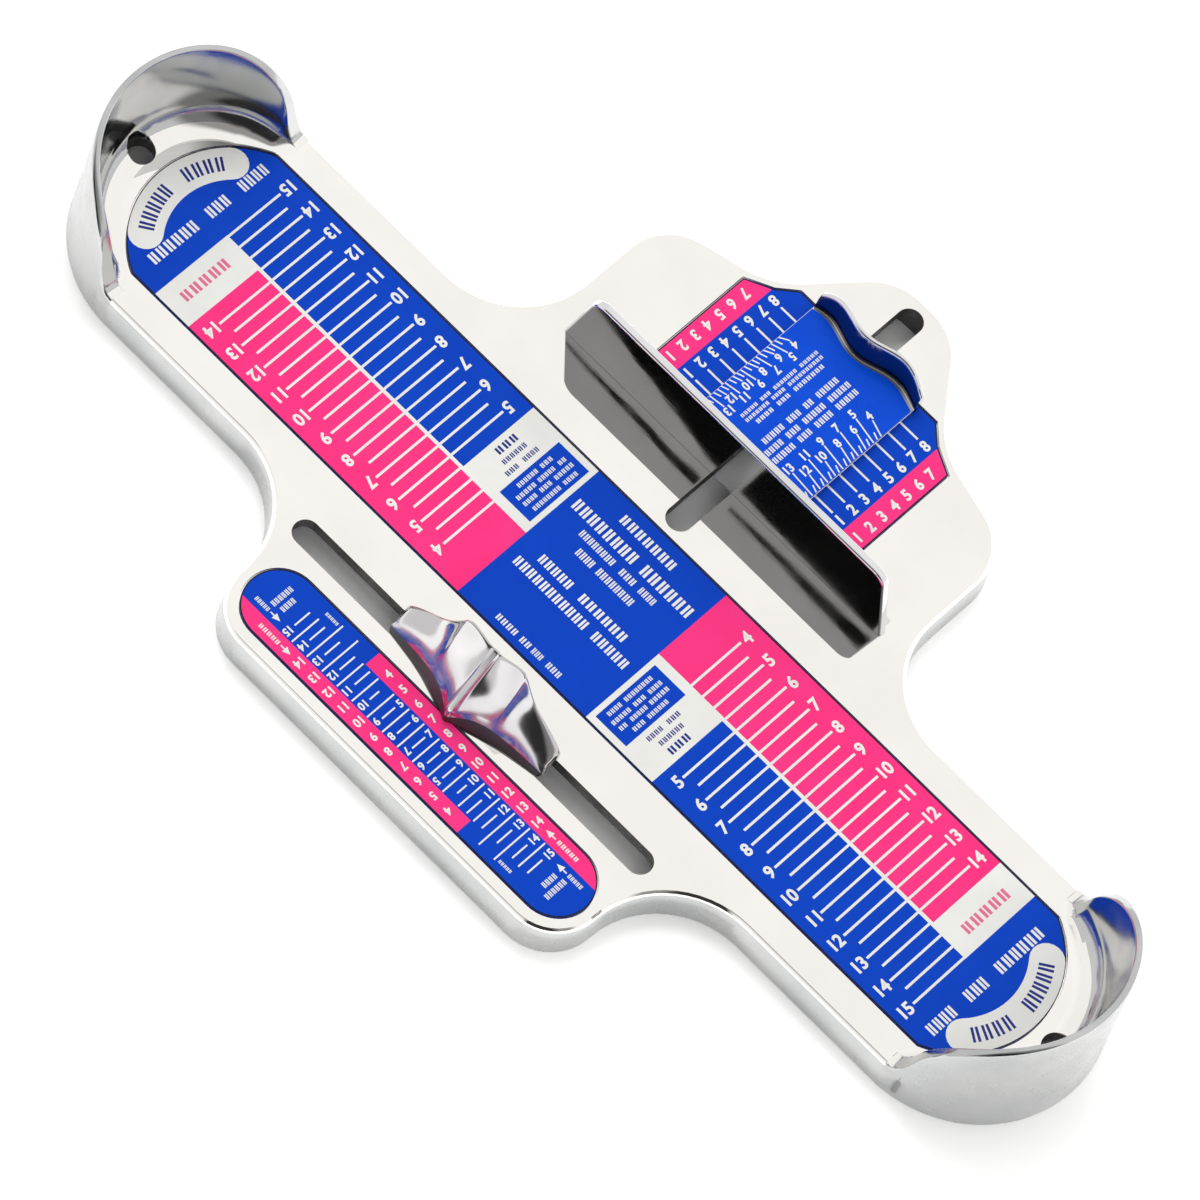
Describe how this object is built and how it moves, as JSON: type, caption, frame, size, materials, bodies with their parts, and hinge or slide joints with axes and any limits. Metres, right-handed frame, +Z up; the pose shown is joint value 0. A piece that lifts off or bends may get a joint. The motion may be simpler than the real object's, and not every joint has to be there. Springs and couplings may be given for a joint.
{
  "type": "foot measuring device",
  "caption": "Cast plate with a heel cup at each end, a sliding width bar and a sliding arch pointer, read against printed scales to size a foot for shoes.",
  "frame": {"origin": "middle of the footprint's bounding box, on the surface the device stands on", "axes": "+X along the foot, from the middle to the right-hand heel cup; +Y across it, to the side of the width slide; +Z up"},
  "size_m": [0.362, 0.2126, 0.0469],
  "materials": {
    "polished_casting": "polished cast aluminium",
    "polished_slide": "mirror polished cast aluminium",
    "printed_plate": "gloss printed aluminium sheet, blue and pink fields with white figures",
    "adhesive_film": "acrylic adhesive film",
    "guide_nylon": "black nylon",
    "spring_steel": "blued spring steel",
    "zinc_steel": "zinc plated steel"
  },
  "bodies": {
    "base": {"base_casting": "polished_casting", "length_scale": "printed_plate", "length_scale_adhesive": "adhesive_film", "width_scale_right": "printed_plate", "width_scale_left": "printed_plate", "width_scale_adhesive_right": "adhesive_film", "width_scale_adhesive_left": "adhesive_film", "arch_scale": "printed_plate", "arch_scale_adhesive": "adhesive_film"},
    "width_slider": {"width_slide": "polished_slide", "width_slide_scale": "printed_plate", "width_slide_scale_adhesive": "adhesive_film", "width_guide_block": "guide_nylon", "width_leaf_springs": "spring_steel", "width_keeper_plate": "zinc_steel", "width_washers": "zinc_steel", "width_screws": "zinc_steel"},
    "arch_slider": {"arch_pointer": "polished_slide", "arch_guide_block": "guide_nylon", "arch_leaf_springs": "spring_steel", "arch_keeper_plate": "zinc_steel", "arch_washers": "zinc_steel", "arch_screws": "zinc_steel"}
  },
  "joints": [
    {"name": "width_slide_travel", "type": "slide", "parent": "base", "child": "width_slider", "axis": [0, 1, 0], "range_m": [-0.0288, 0.0306]},
    {"name": "arch_slide_travel", "type": "slide", "parent": "base", "child": "arch_slider", "axis": [1, 0, 0], "range_m": [-0.0468, 0.0468]}
  ]
}
